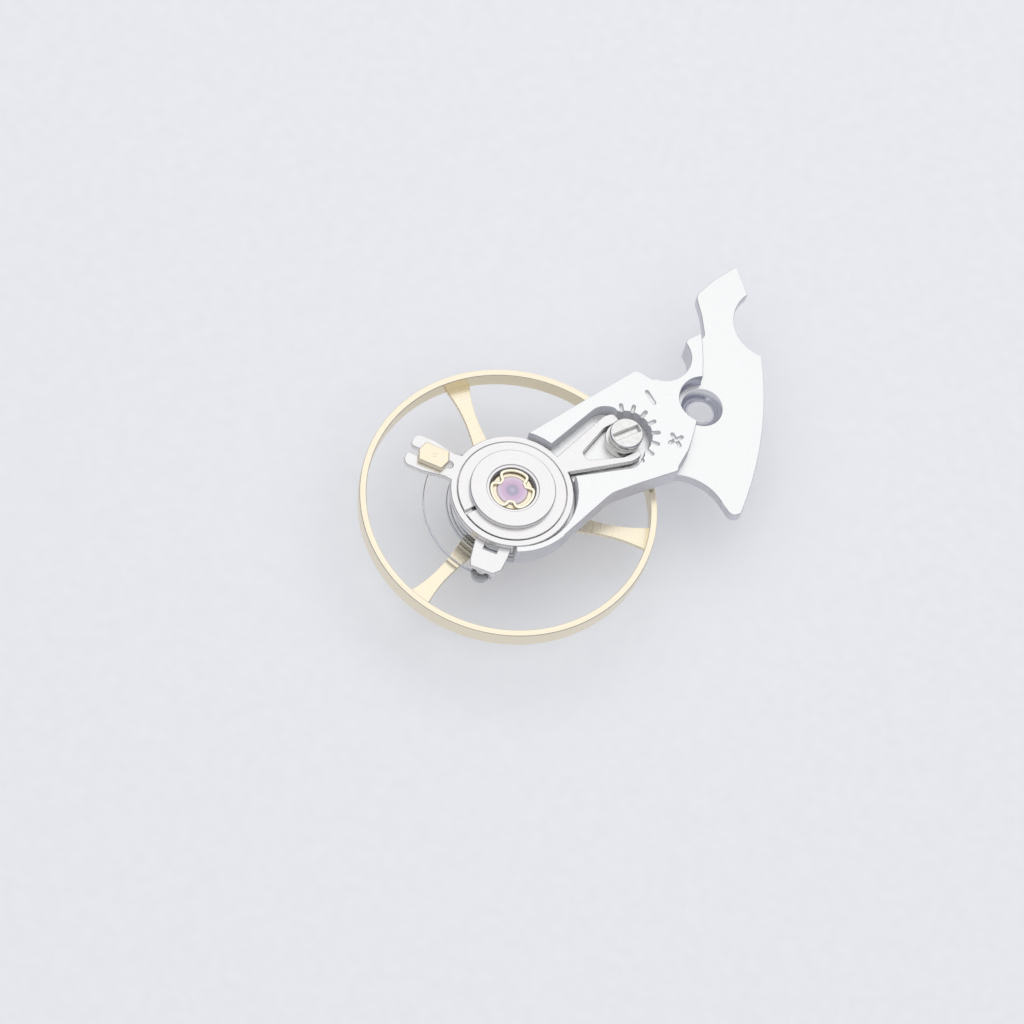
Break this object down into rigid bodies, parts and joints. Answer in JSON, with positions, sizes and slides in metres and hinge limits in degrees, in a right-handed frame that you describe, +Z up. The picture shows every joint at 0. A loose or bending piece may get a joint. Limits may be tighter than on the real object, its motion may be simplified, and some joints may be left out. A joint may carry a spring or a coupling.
{
  "type": "balance cock assembly",
  "caption": "Single-foot balance cock of a mechanical watch movement with shock setting, regulator, hairspring, balance wheel and staff.",
  "frame": {"origin": "axis of the cock screw's hole, at the foot's seat on the main plate", "axes": "+Z up out of the screw hole, +X from the balance axis towards the screw hole, +Y to the left of +X seen from above"},
  "size_m": [0.0158, 0.0096, 0.0031],
  "materials": {
    "nickel_satin": "bright nickel plate, fine satin",
    "nickel_turned": "nickel plate, fine turned satin",
    "steel_bright": "polished hardened steel",
    "gold_spring": "gold-plated, polished",
    "gold_satin": "gold-plated, fine satin",
    "pale_gold": "pale gold-plated, satin",
    "ruby": "polished synthetic ruby",
    "cement": "hardened clear adhesive",
    "spring_alloy": "drawn and rolled hairspring alloy"
  },
  "bodies": {
    "cock": {"balance_cock": "nickel_satin", "steady_pins": "steel_bright", "shock_block": "nickel_turned", "shock_spring": "gold_spring", "friction_ring": "nickel_turned", "hairspring": "spring_alloy"},
    "setting": {"jewel_setting": "gold_spring", "hole_jewel": "ruby", "cap_jewel": "ruby"},
    "index": {"index_ring": "nickel_turned"},
    "pin_block": {"regulator_pin_block": "gold_satin", "curb_pins": "gold_satin"},
    "stud_carrier": {"stud_carrier": "nickel_turned", "hairspring_stud": "steel_bright", "stud_cement": "cement"},
    "eccentric": {"eccentric_screw": "steel_bright"},
    "balance": {"balance_wheel": "pale_gold", "balance_staff": "steel_bright", "double_roller": "steel_bright", "impulse_jewel": "ruby", "hairspring_collet": "pale_gold"}
  },
  "joints": [
    {"name": "balance_swing", "type": "hinge", "parent": "cock", "child": "balance", "pos_m": [-0.0072, 0, 0], "axis": [0, 0, 1], "range_deg": [-300, 300], "stiffness_Nm_per_rad": 0.0000005, "deforming": ["hairspring"]},
    {"name": "setting_lift", "type": "slide", "parent": "cock", "child": "setting", "axis": [0, 0, 1], "range_m": [0, 0.00005], "stiffness_N_per_m": 500, "springref_m": -0.00005, "deforming": ["shock_spring"]},
    {"name": "stud_carrier_turn", "type": "hinge", "parent": "cock", "child": "stud_carrier", "pos_m": [-0.0072, 0, 0], "axis": [0, 0, 1], "range_deg": [-25, 3]},
    {"name": "eccentric_turn", "type": "hinge", "parent": "cock", "child": "eccentric", "pos_m": [-0.00295, 0.00004, 0], "axis": [0, 0, 1], "range_deg": [-72, 72]},
    {"name": "index_turn", "type": "hinge", "parent": "cock", "child": "index", "pos_m": [-0.0072, 0, 0], "axis": [0, 0, 1], "range_deg": [-1.15, 1.15]},
    {"name": "pin_block_turn", "type": "hinge", "parent": "index", "child": "pin_block", "pos_m": [-0.00886, 0.00213, 0], "axis": [0, 0, 1], "range_deg": [-20, 20]}
  ],
  "couplings": [
    {"joint": "index_turn", "follows": "eccentric_turn", "ratio": -0.0155}
  ]
}
